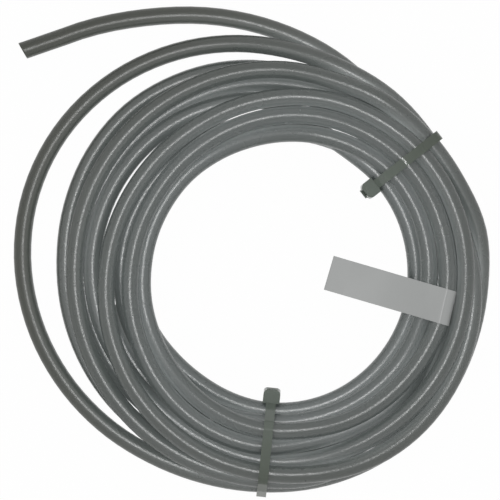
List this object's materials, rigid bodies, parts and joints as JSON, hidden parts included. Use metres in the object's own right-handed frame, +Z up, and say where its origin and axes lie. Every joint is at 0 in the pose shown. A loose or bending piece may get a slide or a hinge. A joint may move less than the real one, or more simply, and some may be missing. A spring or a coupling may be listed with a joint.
{
  "type": "coil of flexible tubing",
  "caption": "Flat coil of translucent flexible tubing with a loose outer loop and a free end, held by cable ties, with a bare folded flag label.",
  "frame": {"origin": "on the coil's axis, in the eye of the coil, on the surface the coil lies on", "axes": "+Z up, out of the surface the coil lies on; the free end of the tube leaves towards -X and +Y; the cable ties stand at 40 and 268 degrees from +X about +Z"},
  "size_m": [0.1725, 0.1774, 0.0242],
  "materials": {
    "tubing": "translucent milky grey flexible plastic, glossy",
    "tie_nylon": "natural nylon, satin, slightly translucent",
    "label_film": "satin film, bare"
  },
  "bodies": {
    "root": {"coil_start": "tubing", "free_loop": "tubing", "coil_finish": "tubing", "tail": "tubing", "tube_end": "tubing", "tie_a": "tie_nylon", "tie_b": "tie_nylon", "label": "label_film"}
  },
  "joints": []
}
